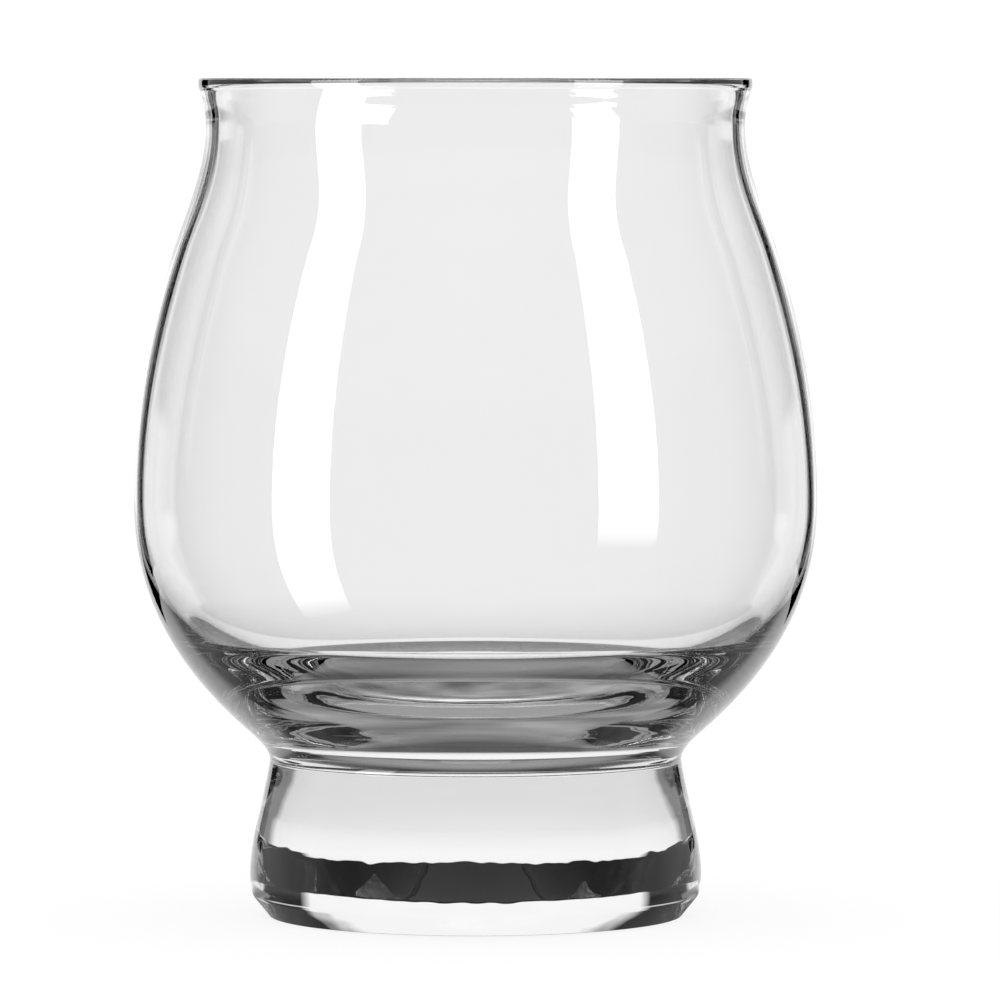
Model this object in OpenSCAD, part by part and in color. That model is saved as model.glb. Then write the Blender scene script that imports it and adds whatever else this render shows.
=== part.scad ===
// Footed nosing glass. A thin blown bowl with a flared lip and a heavy base is
// fused at its waist onto a solid, flared foot. Z is up. The origin is on the
// axis of the glass, in the plane that it rests on.

/* [Foot] */
// Height of the foot, from the table to the waist
foot_h = 18.9; // [15:0.1:26]
// Radius of the foot at its widest circle
foot_r = 27.45; // [25.5:0.05:33]
// Height of the widest circle above the table
foot_edge_h = 4.9; // [3.5:0.1:9]
// Height of the bevel round the foot's lower edge
bevel_h = 2.5; // [1.2:0.1:3]
// Width of the bevel, from its upper corner in to the flat rest ring
bevel_w = 2.02; // [1:0.01:3]
// How far the bevel's upper corner lies inside the widest circle
bevel_in = 0.33; // [0.2:0.01:0.6]
// Width of the flat ring that the glass rests on
rest_ring_w = 5.1; // [3:0.1:12]
// Depth of the shallow hollow inside the rest ring, at the axis
hollow_depth = 0.6; // [0.2:0.1:2]

/* [Waist] */
// Radius of the waist, where the bowl is fused onto the foot
waist_r = 25; // [20:0.1:25.2]

/* [Bowl] */
// Height of the bowl, from the waist to the top of the lip
bowl_h = 82.7; // [70:0.1:96]
// Outer radius of the flank, just above the waist
flank_r = 27.9; // [26:0.1:30]
// Height of the flank circle above the waist
flank_rise = 3.9; // [2.5:0.1:6]
// Outer radius of the belly, the bowl's widest circle
belly_r = 41.45; // [38:0.05:46]
// Height of the belly above the waist
belly_rise = 31.7; // [26:0.1:38]
// Outer radius of the shoulder
shoulder_r = 36.55; // [34:0.05:38]
// Drop from the top of the lip to the shoulder circle
shoulder_drop = 20.8; // [16:0.1:26]
// Outer radius of the neck, the narrowest circle above the belly
neck_r = 32.65; // [29:0.05:33.4]
// Drop from the top of the lip to the neck
neck_drop = 6; // [4:0.1:9]
// Outer radius of the flared lip
lip_r = 33.55; // [33:0.05:36]

/* [Walls] */
// Wall at the lip
lip_wall = 1.8; // [1.2:0.1:2.4]
// Wall at the neck
neck_wall = 1.5; // [1:0.1:2.2]
// Wall at the shoulder
shoulder_wall = 1.4; // [1:0.1:2.2]
// Wall at the belly
belly_wall = 1; // [0.8:0.1:1.8]
// Wall at the heel, the circle where the inside starts to turn to its bottom
heel_wall = 2; // [1.4:0.1:3]
// Height of the heel above the waist
heel_rise = 16; // [13.5:0.1:20]
// Height of the round corner between the heel and the dished bottom
corner_h = 2.3; // [1.5:0.1:3]
// Width of the round corner
corner_w = 3; // [2.2:0.1:4]
// Glass on the axis, between the dished bottom and the waist
base_wall = 9; // [3:0.1:10]

/* [Hidden] */

// How far the outline leans outward for each unit of height
flank_lean = 1.14;
shoulder_lean = -0.32;
lip_lean = 0.35;
foot_top_lean = -0.14;
bevel_lean = 0.2;
heel_lean = 0.7;
// Powers of the bowl's bottom and of the hollow under the foot; a higher one has a flatter middle
dish_power = 4;
hollow_power = 2;
// Half the height of the small bend at the bevel's upper corner
bevel_bend = 0.3;
// The lip's rounded corners
lip_outer_round = 0.35;
lip_inner_round_h = 1;
// Steps along each stretch of outline, and round a full turn
curve_steps = 14;
corner_steps = 6;
$fn = 96;

glass_colour = [0.86, 0.9, 0.92, 0.35];

// A circle of the bowl's outline: its radius, its height above the waist and its lean there
flank = [flank_r, flank_rise, flank_lean];
belly = [belly_r, belly_rise, 0];
shoulder = [shoulder_r, bowl_h - shoulder_drop, shoulder_lean];
neck = [neck_r, bowl_h - neck_drop, 0];
lip = [lip_r, bowl_h - lip_inner_round_h, lip_lean];

// Cubic curve from circle a to circle b that leaves and arrives with their leans
function span_radius(a, b, t) =
    let (rise = b[1] - a[1])
    (2 * t^3 - 3 * t^2 + 1) * a[0] + (t^3 - 2 * t^2 + t) * a[2] * rise
    + (3 * t^2 - 2 * t^3) * b[0] + (t^3 - t^2) * b[2] * rise;

// Points from circle a up to, but without, circle b
function span(a, b) = [
    for (i = [0 : curve_steps - 1])
        let (t = i / curve_steps)
        [span_radius(a, b, t), a[1] + t * (b[1] - a[1])]
];

// Points of a whole outline through a list of circles
function outline(circles) = concat(
    [for (i = [0 : len(circles) - 2]) each span(circles[i], circles[i + 1])],
    [[circles[len(circles) - 1][0], circles[len(circles) - 1][1]]]
);

// The same circle on the inside of a wall
function inset(circle, wall) = [circle[0] - wall, circle[1], circle[2]];

// Points of a short bend from a to b, with its tangents through the corner, without a
function bend(a, corner, b) = [
    for (i = [1 : corner_steps])
        let (t = i / corner_steps)
        (1 - t)^2 * a + 2 * t * (1 - t) * corner + t^2 * b
];

// Points of a shallow dome over the axis, from its rim at radius r in to its middle
function dome(r, rim_z, middle_z, power) = [
    for (i = [0 : curve_steps])
        let (share = 1 - i / curve_steps)
        [r * share, middle_z + (rim_z - middle_z) * share^power]
];

function reversed(points) = [for (i = [len(points) - 1 : -1 : 0]) points[i]];
function without_last(points) = [for (i = [0 : len(points) - 2]) points[i]];

module bowl() {
    outer = outline([[waist_r, 0, 0], flank, belly, shoulder, neck, lip]);
    lip_top_r = lip_r - lip_outer_round;
    lip_inner_w = lip_wall - lip_outer_round;
    outer_corner = [
        for (i = [0 : corner_steps])
            let (a = 90 * i / corner_steps)
            [lip_top_r + lip_outer_round * cos(a), bowl_h - lip_outer_round * (1 - sin(a))]
    ];
    inner_corner = [
        for (i = [1 : corner_steps])
            let (a = 90 * i / corner_steps)
            [lip_top_r - lip_inner_w * sin(a), bowl_h - lip_inner_round_h * (1 - cos(a))]
    ];
    heel_share = (heel_rise - flank_rise) / (belly_rise - flank_rise);
    heel = [span_radius(flank, belly, heel_share) - heel_wall, heel_rise, heel_lean];
    inner_wall = outline([
        heel,
        inset(belly, belly_wall),
        inset(shoulder, shoulder_wall),
        inset(neck, neck_wall),
        inset(lip, lip_wall)
    ]);
    dish_r = heel[0] - corner_w;
    dish_h = heel_rise - corner_h;
    dish_lean = dish_r / (dish_power * (dish_h - base_wall));
    color(glass_colour)
        translate([0, 0, foot_h])
            rotate_extrude()
                polygon(concat(
                    [[0, 0]],
                    outer,
                    outer_corner,
                    inner_corner,
                    reversed(without_last(inner_wall)),
                    without_last(reversed(span([dish_r, dish_h, dish_lean], heel))),
                    dome(dish_r, dish_h, base_wall, dish_power)
                ));
}

module foot() {
    side = outline([[foot_r, foot_edge_h, 0], [waist_r, foot_h, foot_top_lean]]);
    corner = [foot_r - bevel_in, bevel_h];
    rest_r = corner[0] - bevel_w;
    above = corner + bevel_bend * [bevel_lean, 1];
    below = corner - bevel_bend * [bevel_w / bevel_h, 1];
    edge = span([above[0], above[1], bevel_lean], [foot_r, foot_edge_h, 0]);
    color(glass_colour)
        rotate_extrude()
            polygon(concat(
                [[0, foot_h]],
                reversed(side),
                reversed(edge),
                bend(above, corner, below),
                [[rest_r, 0]],
                dome(rest_r - rest_ring_w, 0, hollow_depth, hollow_power)
            ));
}

bowl();
foot();
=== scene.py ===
"""The looks of the footed nosing glass: two pieces of clear glass in bright-field studio light."""

import math

import bpy
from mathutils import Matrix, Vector

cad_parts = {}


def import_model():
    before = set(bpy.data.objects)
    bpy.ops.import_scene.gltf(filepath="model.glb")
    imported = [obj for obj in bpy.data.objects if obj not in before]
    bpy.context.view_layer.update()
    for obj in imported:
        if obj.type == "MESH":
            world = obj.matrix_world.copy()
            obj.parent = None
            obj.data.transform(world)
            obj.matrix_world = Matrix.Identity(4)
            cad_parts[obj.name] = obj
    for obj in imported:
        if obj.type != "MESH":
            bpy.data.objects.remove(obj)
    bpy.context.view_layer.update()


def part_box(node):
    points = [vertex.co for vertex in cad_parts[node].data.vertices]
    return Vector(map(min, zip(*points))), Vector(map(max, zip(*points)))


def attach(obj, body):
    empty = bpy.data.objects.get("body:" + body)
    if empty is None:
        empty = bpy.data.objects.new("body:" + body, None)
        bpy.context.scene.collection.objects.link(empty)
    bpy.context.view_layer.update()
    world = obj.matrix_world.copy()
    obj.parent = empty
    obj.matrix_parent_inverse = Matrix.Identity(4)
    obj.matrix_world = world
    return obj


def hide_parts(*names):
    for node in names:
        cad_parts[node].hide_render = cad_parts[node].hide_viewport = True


MM = 0.001
WHITE = (1, 1, 1, 1)
BLACK = (0, 0, 0, 1)

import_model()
bowl_low, bowl_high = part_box("bowl")
foot_low, foot_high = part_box("foot")

# Heights and radii that the frame gives
TOTAL_H = bowl_high[2]
WAIST_H = foot_high[2]
BELLY_R = bowl_high[0]
FOOT_R = foot_high[0]

# The foot, as in the part's source
FOOT_EDGE_H = 4.9 * MM
BEVEL_H = 2.5 * MM
BEVEL_W = 2.02 * MM
BEVEL_IN = 0.33 * MM
BEVEL_BEND = 0.3 * MM
REST_RING_W = 5.1 * MM
HOLLOW_DEPTH = 0.6 * MM
HOLLOW_POWER = 2
BEVEL_R = FOOT_R - BEVEL_IN
REST_R = BEVEL_R - BEVEL_W
HOLLOW_R = REST_R - REST_RING_W

# The bowl's outline, as in the part's source
WAIST_R = 25.0 * MM
FLANK_R = 27.9 * MM
FLANK_RISE = 3.9 * MM
BELLY_RISE = 31.7 * MM
SHOULDER_R = 36.55 * MM
SHOULDER_DROP = 20.8 * MM
NECK_R = 32.65 * MM
NECK_DROP = 6.0 * MM
LIP_R = 33.55 * MM
LIP_OUTER_ROUND = 0.35 * MM
LIP_INNER_ROUND_H = 1.0 * MM

# Its walls, and the bottom of its inside
LIP_WALL = 1.8 * MM
NECK_WALL = 1.5 * MM
SHOULDER_WALL = 1.4 * MM
BELLY_WALL = 1.0 * MM
HEEL_WALL = 2.0 * MM
HEEL_RISE = 16.0 * MM
CORNER_W = 3.0 * MM
CORNER_H = 2.3 * MM
BASE_WALL = 9.0 * MM
DISH_POWER = 4

# How far the outlines lean outward for each unit of height
FLANK_LEAN = 1.14
SHOULDER_LEAN = -0.32
LIP_LEAN = 0.35
HEEL_LEAN = 0.7
FOOT_TOP_LEAN = -0.14
BEVEL_LEAN = 0.2

# Places along the bevel, close together at the rest ring so that its corner stays sharp
BEVEL_SHARES = (0.5, 0.9, 0.985, 1)

# How finely the glass is turned
CURVE_STEPS = 40
CORNER_STEPS = 10
TURN_STEPS = 360

# Clear glass, and the faint waves in its surface: how many to the metre, and how high
GLASS_COLOUR = (0.995, 0.995, 0.995, 1)
GLASS_IOR = 1.52
BOWL_WAVES = ((30, 0.06 * MM), (110, 0.004 * MM))
FOOT_WAVES = ((60, 0.04 * MM), (260, 0.04 * MM))

# The photograph's frame
PHOTO_PX = 1000
AXIS_PX = 475.5
RIM_PX = 78.0
TABLE_PX = 916.0
CAMERA_DISTANCE = 957 * MM
SENSOR = 36.0

# The studio is light by direction. Its angles are degrees: an azimuth of 0 is straight behind the
# glass, and an elevation of 0 is level. LEVELS are stops of angle and level, and SOFT is the width
# of a soft edge.

# What light that goes straight through the glass meets: a pale table and wall, with shade to the sides
STRAIGHT_LEVELS = ((-90, 0.6), (-45, 0.7), (-17, 0.78), (-5, 1.0), (12, 1.0), (13.5, 0.0))
LOW_SHADE = (60, 76)
LOW_SHADE_SOFT = 6
LOW_SHADE_LEVEL = 0.25
HIGH_SHADE = (40, 62)
HIGH_SHADE_SOFT = 4

# What light that is mirrored inside the glass meets: a wall in two widths and a table, in a dark room
WALL_LOW = -4
LOWER_WALL_HIGH = 3.5
WALL_HIGH = 12
WALL_SOFT = 1.5
LOWER_WALL_HALF = 44
LOWER_WALL_SIDE_SOFT = 8
UPPER_WALL_HALF = 33
UPPER_WALL_SIDE_SOFT = 3
TABLE_LEVELS = ((-90, 0.1), (-30, 0.1), (-21, 0.6), (-17, 0.78), (-5, 1.0))
TABLE_SOFT = 1
TABLE_HALF = 52
TABLE_SIDE_SOFT = 8
ROOM_LEVEL = 0.02
DARK_LEVEL = 0.01

# Above it, a dim ceiling, and a light overhead that is weaker over the camera and in the hollow
CEILING_LEVELS = ((13, 0.0), (18, 0.3), (33, 0.3), (38, 0.35), (45, 0.35))
OVERHEAD_LEVELS = ((45, 0.0), (55, 0.3), (66, 0.7), (75, 1.0))
OVERHEAD_HALF = 97
OVERHEAD_SIDE_SOFT = 10
OVERHEAD_BEHIND = 0.25
OVERHEAD_SHARE = 0.4

# What the outside of the glass mirrors, by azimuth, and the elevations that it reaches
MIRRORED_LEVELS = ((30, 1.0), (36, 0.4), (60, 0.5), (85, 0.5), (100, 0.15))
MIRRORED_LOW = -30
MIRRORED_HIGH = 45
MIRRORED_SOFT = 10

# Light that came through the hollow of the bowl has been bent more often than this
BENT_BY_BASE = 3.5

# Steps of a light path that aren't bends: with more of them than this, the light was mirrored.
# The world counts one step more than the surfaces do.
OTHER_STEPS = 0.5
OTHER_STEPS_IN_WORLD = 1.5

# The floor, and how much of it takes the shadow
FLOOR_HALF = 1.5
FLOOR_Z = -0.1 * MM
FLOOR_COLOUR = (0.97, 0.97, 0.97, 1)
FLOOR_LIGHT = 1.04
FLOOR_SHADOW = 0.2

# Painted shadow under the foot: how dim and cloudy light that is mirrored in the base finds the floor, up to
# these radii
PAINTED_SHADOW_R = (36 * MM, 41 * MM)
PAINTED_SHADOW_LEVEL = (0.14, 0.4)
PAINTED_SHADOW_GRAIN = 90
PAINTED_SHADOW_CLOUD = (0.35, 0.65)

# A dark card behind the glass, with its mirror image on the other side: two corners, as (x, y, z)
CARD = ((84 * MM, 130 * MM, 5 * MM), (121 * MM, 130 * MM, 125 * MM))

# The two strip lamps: azimuth, lowest elevation, and the elevation where each has come to full strength
STRIPS = ((-120, -38, -27), (128, -12, -3.5))
STRIP_DISTANCE = 2.0
STRIP_HALF = 11
STRIP_TOP = 40
STRIP_LEVEL = 6

# How often light may bounce on its way through the glass, and be mirrored or pass a clear face
GLASS_BOUNCES = 32
OTHER_BOUNCES = 16


def circle_radius(a, b, t):
    """Radius at share t of the rise from circle a to circle b, each (radius, height, lean)."""
    rise = b[1] - a[1]
    r = (2 * t**3 - 3 * t**2 + 1) * a[0] + (t**3 - 2 * t**2 + t) * a[2] * rise
    return r + (3 * t**2 - 2 * t**3) * b[0] + (t**3 - t**2) * b[2] * rise


def span(a, b):
    """Points from circle a up to circle b, without b itself."""
    shares = [i / CURVE_STEPS for i in range(CURVE_STEPS)]
    return [(circle_radius(a, b, t), a[1] + t * (b[1] - a[1])) for t in shares]


def outline(circles):
    """Points through a list of circles."""
    points = []
    for a, b in zip(circles, circles[1:]):
        points += span(a, b)
    return points + [circles[-1][:2]]


def inset(circle, wall):
    """The same circle on the inside of a wall."""
    return circle[0] - wall, circle[1], circle[2]


def bend(a, corner, b):
    """Points of a short bend from a to b, with its tangents through the corner, without a."""
    points = []
    for i in range(1, CORNER_STEPS + 1):
        t = i / CORNER_STEPS
        shares = ((1 - t) ** 2, 2 * t * (1 - t), t**2)
        points.append(tuple(sum(s * p[k] for s, p in zip(shares, (a, corner, b))) for k in range(2)))
    return points


def dome(r, rim_z, middle_z, power, steps):
    """Points of a shallow dome over the axis, from its rim at radius r in to its middle."""
    shares = [1 - i / steps for i in range(steps + 1)]
    return [(r * share, middle_z + (rim_z - middle_z) * share**power) for share in shares]


def lip_round():
    """Points over the lip, from its outside to its inside."""
    top_r = LIP_R - LIP_OUTER_ROUND
    inner_w = LIP_WALL - LIP_OUTER_ROUND
    angles = [math.pi / 2 * i / CORNER_STEPS for i in range(CORNER_STEPS + 1)]
    points = [(top_r + LIP_OUTER_ROUND * math.cos(a), TOTAL_H - LIP_OUTER_ROUND * (1 - math.sin(a)))
              for a in angles]
    points += [(top_r - inner_w * math.sin(a), TOTAL_H - LIP_INNER_ROUND_H * (1 - math.cos(a)))
               for a in angles[1:]]
    return points


def bowl_outline():
    """The bowl's section, from the waist's edge over the lip to the middle of the inside."""
    flank = (FLANK_R, WAIST_H + FLANK_RISE, FLANK_LEAN)
    belly = (BELLY_R, WAIST_H + BELLY_RISE, 0)
    shoulder = (SHOULDER_R, TOTAL_H - SHOULDER_DROP, SHOULDER_LEAN)
    neck = (NECK_R, TOTAL_H - NECK_DROP, 0)
    lip = (LIP_R, TOTAL_H - LIP_INNER_ROUND_H, LIP_LEAN)
    heel_share = (HEEL_RISE - FLANK_RISE) / (BELLY_RISE - FLANK_RISE)
    heel = (circle_radius(flank, belly, heel_share) - HEEL_WALL, WAIST_H + HEEL_RISE, HEEL_LEAN)
    inner_wall = outline([
        heel,
        inset(belly, BELLY_WALL),
        inset(shoulder, SHOULDER_WALL),
        inset(neck, NECK_WALL),
        inset(lip, LIP_WALL),
    ])
    middle_z = WAIST_H + BASE_WALL
    dish_r, dish_z = heel[0] - CORNER_W, heel[1] - CORNER_H
    dish_lean = dish_r / (DISH_POWER * (dish_z - middle_z))
    points = outline([(WAIST_R, WAIST_H, 0), flank, belly, shoulder, neck, lip])
    points += lip_round()
    points += inner_wall[-2::-1]
    points += span((dish_r, dish_z, dish_lean), heel)[::-1]
    return points + dome(dish_r, dish_z, middle_z, DISH_POWER, 2 * CURVE_STEPS)[1:]


def foot_outline():
    """The foot's section, from the waist's edge down to the middle of the underside."""
    corner = (BEVEL_R, BEVEL_H)
    above = (BEVEL_R + BEVEL_LEAN * BEVEL_BEND, BEVEL_H + BEVEL_BEND)
    below = (BEVEL_R - BEVEL_W / BEVEL_H * BEVEL_BEND, BEVEL_H - BEVEL_BEND)
    points = outline([(FOOT_R, FOOT_EDGE_H, 0), (WAIST_R, WAIST_H, FOOT_TOP_LEAN)])[::-1]
    points += span((*above, BEVEL_LEAN), (FOOT_R, FOOT_EDGE_H, 0))[::-1]
    points += bend(above, corner, below)
    for share in BEVEL_SHARES:
        points.append((below[0] + (REST_R - below[0]) * share, below[1] * (1 - share)))
    return points + dome(HOLLOW_R, 0, HOLLOW_DEPTH, HOLLOW_POWER, CURVE_STEPS)


def turned(name, points, materials, seam_on_top):
    """A closed mesh turned from a section that starts at the waist's edge and ends on the axis."""
    vertices, faces, marks = [], [], []
    rings = points[:-1]
    for r, z in rings:
        for k in range(TURN_STEPS):
            a = math.tau * k / TURN_STEPS
            vertices.append((r * math.cos(a), r * math.sin(a), z))
    apex = len(vertices)
    vertices.append((0, 0, points[-1][1]))
    hub = len(vertices)
    vertices.append((0, 0, points[0][1]))
    last = (len(rings) - 1) * TURN_STEPS
    for k in range(TURN_STEPS):
        n = (k + 1) % TURN_STEPS
        for i in range(len(rings) - 1):
            low, high = i * TURN_STEPS, (i + 1) * TURN_STEPS
            faces.append((low + k, low + n, high + n, high + k))
            marks.append(0)
        faces.append((last + k, last + n, apex))
        marks.append(0)
        faces.append((hub, n, k))
        marks.append(1)
    if seam_on_top:
        faces = [face[::-1] for face in faces]
    mesh = bpy.data.meshes.new(name)
    mesh.from_pydata(vertices, [], faces)
    for material in materials:
        mesh.materials.append(material)
    mesh.polygons.foreach_set("material_index", marks)
    mesh.polygons.foreach_set("use_smooth", [mark == 0 for mark in marks])
    mesh.validate()
    piece = bpy.data.objects.new(name, mesh)
    bpy.context.scene.collection.objects.link(piece)
    return piece


def panel(name, corners, material):
    """A flat stage piece with one face, which isn't part of the object."""
    mesh = bpy.data.meshes.new(name)
    mesh.from_pydata(corners, [], [(0, 1, 2, 3)])
    mesh.materials.append(material)
    piece = bpy.data.objects.new(name, mesh)
    bpy.context.scene.collection.objects.link(piece)


def camera():
    """The photograph's camera: level with the lip, aimed slightly down, with the axis off its middle."""
    px = TOTAL_H / (TABLE_PX - RIM_PX)
    data = bpy.data.cameras.new("camera")
    data.sensor_width = SENSOR
    data.lens = SENSOR * (CAMERA_DISTANCE / px) / PHOTO_PX
    view = bpy.data.objects.new("camera", data)
    bpy.context.scene.collection.objects.link(view)
    view.location = (0, -CAMERA_DISTANCE, TOTAL_H)
    aim = Vector(((PHOTO_PX / 2 - AXIS_PX) * px, 0, (TABLE_PX - PHOTO_PX / 2) * px))
    view.rotation_euler = (aim - view.location).to_track_quat("-Z", "Y").to_euler()
    bpy.context.scene.camera = view


class Graph:
    """A node tree with short calls for sums of sockets."""

    def __init__(self, tree):
        self.tree = tree
        tree.nodes.clear()

    def node(self, kind):
        return self.tree.nodes.new(kind)

    def link(self, source, target):
        self.tree.links.new(source, target)

    def feed(self, value, socket):
        if isinstance(value, bpy.types.NodeSocket):
            self.link(value, socket)
        else:
            socket.default_value = value

    def math(self, operation, *values):
        n = self.node("ShaderNodeMath")
        n.operation = operation
        for value, socket in zip(values, n.inputs):
            self.feed(value, socket)
        return n.outputs[0]

    def ease(self, value, start, end, to_start=0, to_end=1):
        """Level that goes from to_start to to_end while the value goes from start to end, and stays there."""
        n = self.node("ShaderNodeMapRange")
        self.feed(value, n.inputs["Value"])
        for name, level in (("From Min", start), ("From Max", end), ("To Min", to_start), ("To Max", to_end)):
            n.inputs[name].default_value = level
        return n.outputs[0]

    def until(self, value, end, soft, rest=0):
        """1 up to the end, falling to the rest over soft beyond it."""
        return self.ease(value, end, end + soft, 1, rest)

    def band(self, value, low, high, soft):
        """1 between low and high, falling to 0 over soft outside."""
        return self.math("MULTIPLY", self.ease(value, low - soft, low), self.until(value, high, soft))

    def ramp(self, value, stops):
        """Level that follows a value through (value, level) stops."""
        level = stops[0][1]
        for (v0, e0), (v1, e1) in zip(stops, stops[1:]):
            level = self.math("ADD", self.ease(value, v0, v1, 0, e1 - e0), level)
        return level

    def blend(self, factor, a, b):
        """Value that goes from a to b with the factor."""
        return self.math("ADD", self.math("MULTIPLY", self.math("SUBTRACT", 1, factor), a),
                         self.math("MULTIPLY", factor, b))

    def mix(self, factor, a, b):
        """Shader that goes from a to b with the factor."""
        n = self.node("ShaderNodeMixShader")
        self.feed(factor, n.inputs[0])
        self.link(a, n.inputs[1])
        self.link(b, n.inputs[2])
        return n.outputs[0]

    def finish(self, shader, kind="ShaderNodeOutputMaterial"):
        """Links the shader to the tree's output."""
        self.link(shader, self.node(kind).inputs[0])


def shade(name):
    material = bpy.data.materials.new(name)
    material.use_nodes = True
    return material, Graph(material.node_tree)


def glass(name, waves):
    """Clear glass whose surface has faint waves, given as (waves to the metre, height in metres)."""
    material, g = shade(name)
    place = g.node("ShaderNodeTexCoord")
    shader = g.node("ShaderNodeBsdfPrincipled")
    shader.inputs["Base Color"].default_value = GLASS_COLOUR
    shader.inputs["Roughness"].default_value = 0
    shader.inputs["IOR"].default_value = GLASS_IOR
    shader.inputs["Transmission Weight"].default_value = 1
    height = 0
    for grain, rise in waves:
        cloud = g.node("ShaderNodeTexNoise")
        cloud.inputs["Scale"].default_value = grain
        cloud.inputs["Detail"].default_value = 1
        g.link(place.outputs["Object"], cloud.inputs["Vector"])
        height = g.math("ADD", height, g.math("MULTIPLY", cloud.outputs[0], rise))
    bump = g.node("ShaderNodeBump")
    bump.inputs["Distance"].default_value = 1
    g.link(height, bump.inputs["Height"])
    g.link(bump.outputs[0], shader.inputs["Normal"])
    g.finish(shader.outputs[0])
    return material


def seam():
    """The fused joint inside the glass, which can't be seen."""
    material, g = shade("fused_seam")
    g.finish(g.node("ShaderNodeBsdfTransparent").outputs[0])
    return material


class LightPath:
    """What the light path tells about the way that light took through the glass."""

    def __init__(self, g, most_other_steps=OTHER_STEPS):
        path = g.node("ShaderNodeLightPath").outputs
        self.glossy = path["Is Glossy Ray"]
        self.outer_mirror = path["Is Reflection Ray"]
        other_steps = g.math("SUBTRACT", path["Ray Depth"], path["Transmission Depth"])
        self.mirrored = g.math("GREATER_THAN", other_steps, most_other_steps)
        self.from_hollow = g.math("GREATER_THAN", path["Transmission Depth"], BENT_BY_BASE)


class Studio:
    """The studio's light by direction, apart for each way that light takes through the glass."""

    def __init__(self, g):
        self.g = g
        self.path = LightPath(g, OTHER_STEPS_IN_WORLD)
        xyz = g.node("ShaderNodeSeparateXYZ")
        g.link(g.node("ShaderNodeTexCoord").outputs["Generated"], xyz.inputs[0])
        x, y, z = xyz.outputs
        self.turn = g.math("ABSOLUTE", g.math("DEGREES", g.math("ARCTAN2", x, y)))
        self.elevation = g.math("DEGREES", g.math("ARCSINE", z))

    def straight(self):
        """Level for light that goes straight through."""
        g = self.g
        aside = g.math("SUBTRACT", 90, g.math("ABSOLUTE", g.math("SUBTRACT", 90, self.turn)))
        low_shade = g.ease(g.band(aside, *LOW_SHADE, LOW_SHADE_SOFT), 0, 1, 1, LOW_SHADE_LEVEL)
        high_shade = g.math("SUBTRACT", 1, g.band(aside, *HIGH_SHADE, HIGH_SHADE_SOFT))
        higher = g.ease(self.elevation, LOWER_WALL_HIGH, LOWER_WALL_HIGH + WALL_SOFT)
        shade_there = g.blend(higher, low_shade, high_shade)
        level = g.math("MULTIPLY", g.ramp(self.elevation, STRAIGHT_LEVELS), shade_there)
        return g.math("MAXIMUM", level, self.path.from_hollow)

    def walls(self):
        """Level of the wall's lower and upper part."""
        g = self.g
        lower = g.math("MULTIPLY", g.band(self.elevation, WALL_LOW - WALL_SOFT, LOWER_WALL_HIGH, WALL_SOFT),
                       g.until(self.turn, LOWER_WALL_HALF, LOWER_WALL_SIDE_SOFT, ROOM_LEVEL))
        upper = g.math("MULTIPLY", g.band(self.elevation, LOWER_WALL_HIGH, WALL_HIGH, WALL_SOFT),
                       g.until(self.turn, UPPER_WALL_HALF, UPPER_WALL_SIDE_SOFT))
        return g.math("MAXIMUM", lower, upper)

    def table(self):
        """Level of the table, which is bright where the light came through the hollow."""
        g = self.g
        level = g.math("MAXIMUM", g.ramp(self.elevation, TABLE_LEVELS), self.path.from_hollow)
        level = g.math("MULTIPLY", g.until(self.elevation, WALL_LOW - TABLE_SOFT, 2 * TABLE_SOFT), level)
        return g.math("MULTIPLY", level, g.until(self.turn, TABLE_HALF, TABLE_SIDE_SOFT, ROOM_LEVEL))

    def above(self):
        """Level of the ceiling and the light overhead."""
        g = self.g
        overhead = g.ramp(self.elevation, OVERHEAD_LEVELS)
        over_base = g.math("MULTIPLY", overhead,
                           g.until(self.turn, OVERHEAD_HALF, OVERHEAD_SIDE_SOFT, OVERHEAD_BEHIND))
        over_base = g.math("MAXIMUM", over_base, g.ramp(self.elevation, CEILING_LEVELS))
        return g.blend(self.path.from_hollow, over_base, g.math("MULTIPLY", overhead, OVERHEAD_SHARE))

    def outer(self):
        """Level for light that the outside of the glass mirrors."""
        g = self.g
        reach = g.band(self.elevation, MIRRORED_LOW, MIRRORED_HIGH, MIRRORED_SOFT)
        return g.math("MULTIPLY", g.ramp(self.turn, MIRRORED_LEVELS), reach)

    def level(self):
        """Level for all light that touched the glass."""
        g = self.g
        inside = g.math("MAXIMUM", g.math("MAXIMUM", self.walls(), self.table()), self.above())
        through = g.blend(self.path.mirrored, self.straight(), inside)
        return g.math("MAXIMUM", g.blend(self.path.outer_mirror, through, self.outer()), DARK_LEVEL)


def world():
    """Even light for the floor and behind everything, and the studio for what glass reflects and bends."""
    w = bpy.data.worlds.new("studio")
    bpy.context.scene.world = w
    w.use_nodes = True
    g = Graph(w.node_tree)
    even = g.node("ShaderNodeBackground")
    even.inputs["Strength"].default_value = FLOOR_LIGHT
    even.inputs["Color"].default_value = WHITE
    room = g.node("ShaderNodeBackground")
    room.inputs["Color"].default_value = WHITE
    g.link(Studio(g).level(), room.inputs["Strength"])
    g.finish(g.mix(LightPath(g).glossy, even.outputs[0], room.outputs[0]), "ShaderNodeOutputWorld")


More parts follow.
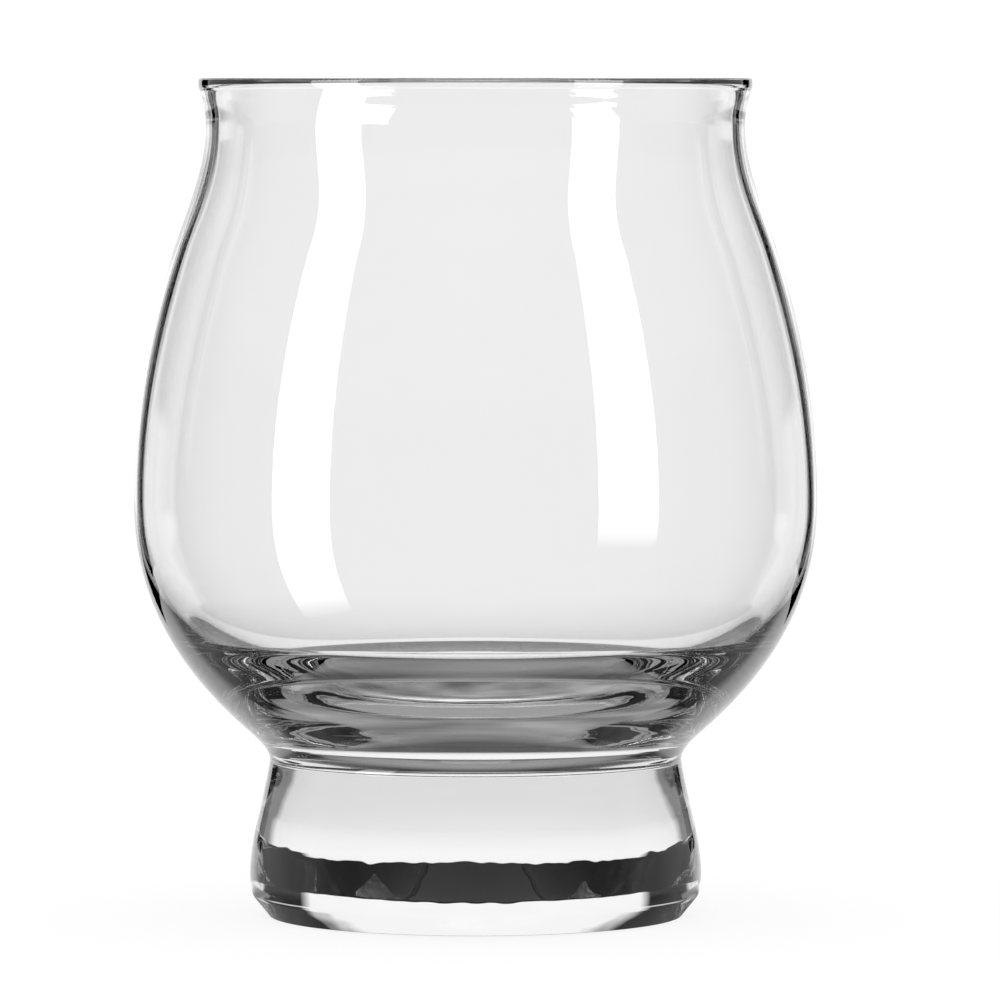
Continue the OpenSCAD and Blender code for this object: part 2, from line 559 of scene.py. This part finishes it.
def floor():
    """A pale floor that keeps the shadow, and a painted shadow close to the foot for light mirrored in the
    base.
    """
    material, g = shade("pale_floor_painted_shadow")
    matt = g.node("ShaderNodeBsdfDiffuse")
    matt.inputs["Color"].default_value = FLOOR_COLOUR
    lit = g.node("ShaderNodeEmission")
    lit.inputs["Strength"].default_value = FLOOR_LIGHT
    pale = g.mix(FLOOR_SHADOW, lit.outputs[0], matt.outputs[0])
    place = g.node("ShaderNodeTexCoord").outputs["Object"]
    length = g.node("ShaderNodeVectorMath")
    length.operation = "LENGTH"
    g.link(place, length.inputs[0])
    # Painted shadow: a dim glow with a cloudy grain close to the foot, where light mirrored in the base meets
    # the floor.
    cloud = g.node("ShaderNodeTexNoise")
    cloud.inputs["Scale"].default_value = PAINTED_SHADOW_GRAIN
    g.link(place, cloud.inputs["Vector"])
    painted_shadow = g.node("ShaderNodeEmission")
    g.link(g.ease(cloud.outputs[0], *PAINTED_SHADOW_CLOUD, *PAINTED_SHADOW_LEVEL), painted_shadow.inputs["Strength"])
    clear = g.node("ShaderNodeBsdfTransparent")
    path = LightPath(g)
    in_base = g.math("MULTIPLY", path.mirrored, g.math("SUBTRACT", 1, path.from_hollow))
    painted_shadow_near = g.math("MULTIPLY", g.ease(length.outputs["Value"], *PAINTED_SHADOW_R, 1, 0), in_base)
    through_glass = g.mix(painted_shadow_near, clear.outputs[0], painted_shadow.outputs[0])
    g.finish(g.mix(path.glossy, pale, through_glass))
    material.cycles.emission_sampling = "NONE"
    half, z = FLOOR_HALF, FLOOR_Z
    panel("floor", [(-half, -half, z), (half, -half, z), (half, half, z), (-half, half, z)], material)


def cards():
    """Dark cards on both sides, which only light mirrored in the glass meets."""
    material, g = shade("dark_card")
    black = g.node("ShaderNodeBsdfDiffuse")
    black.inputs["Color"].default_value = BLACK
    clear = g.node("ShaderNodeBsdfTransparent")
    path = LightPath(g)
    seen = g.math("MULTIPLY", path.glossy, path.mirrored)
    g.finish(g.mix(seen, clear.outputs[0], black.outputs[0]))
    (x0, y0, z0), (x1, y1, z1) = CARD
    for name, side in (("right_card", 1), ("left_card", -1)):
        corners = [(side * x0, y0, z0), (side * x1, y1, z0), (side * x1, y1, z1), (side * x0, y0, z1)]
        panel(name, corners, material)


def strips():
    """Two tall strip lamps in front, mirrored by the bowl's outside alone, soft at their lower ends."""
    receivers = bpy.data.collections.new("mirrors_strips")
    receivers.objects.link(bowl)
    for number, (azimuth, lowest, full) in enumerate(STRIPS, 1):
        low_z, full_z, top_z = (STRIP_DISTANCE * math.tan(math.radians(e)) for e in (lowest, full, STRIP_TOP))
        data = bpy.data.lights.new(f"strip_{number}", "AREA")
        data.shape = "RECTANGLE"
        data.size = 2 * STRIP_DISTANCE * math.tan(math.radians(STRIP_HALF))
        data.size_y = top_z - low_z
        data.energy = STRIP_LEVEL * math.pi * data.size * data.size_y
        data.use_nodes = True
        g = Graph(data.node_tree)
        split = g.node("ShaderNodeSeparateXYZ")
        g.link(g.node("ShaderNodeNewGeometry").outputs["Parametric"], split.inputs[0])
        glow = g.node("ShaderNodeEmission")
        g.link(g.ease(split.outputs[1], 0, (full_z - low_z) / data.size_y), glow.inputs["Strength"])
        g.finish(glow.outputs[0], "ShaderNodeOutputLight")
        lamp = bpy.data.objects.new(data.name, data)
        bpy.context.scene.collection.objects.link(lamp)
        a = math.radians(azimuth)
        lamp.location = (STRIP_DISTANCE * math.sin(a), STRIP_DISTANCE * math.cos(a), (low_z + top_z) / 2)
        lamp.rotation_euler = (math.pi / 2, 0, math.pi - a)
        lamp.visible_camera = False
        lamp.visible_diffuse = False
        lamp.visible_transmission = False
        lamp.light_linking.receiver_collection = receivers


fused = seam()
bowl = turned("bowl_glass", bowl_outline(), [glass("blown_glass", BOWL_WAVES), fused], seam_on_top=False)
foot = turned("foot_glass", foot_outline(), [glass("pressed_glass", FOOT_WAVES), fused], seam_on_top=True)
for piece, node in ((bowl, "bowl"), (foot, "foot")):
    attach(piece, "root")
    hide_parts(node)

camera()
world()
floor()
cards()
strips()
scene = bpy.context.scene
scene.view_settings.view_transform = "Standard"
scene.cycles.max_bounces = GLASS_BOUNCES
scene.cycles.transmission_bounces = GLASS_BOUNCES
scene.cycles.glossy_bounces = OTHER_BOUNCES
scene.cycles.transparent_max_bounces = OTHER_BOUNCES
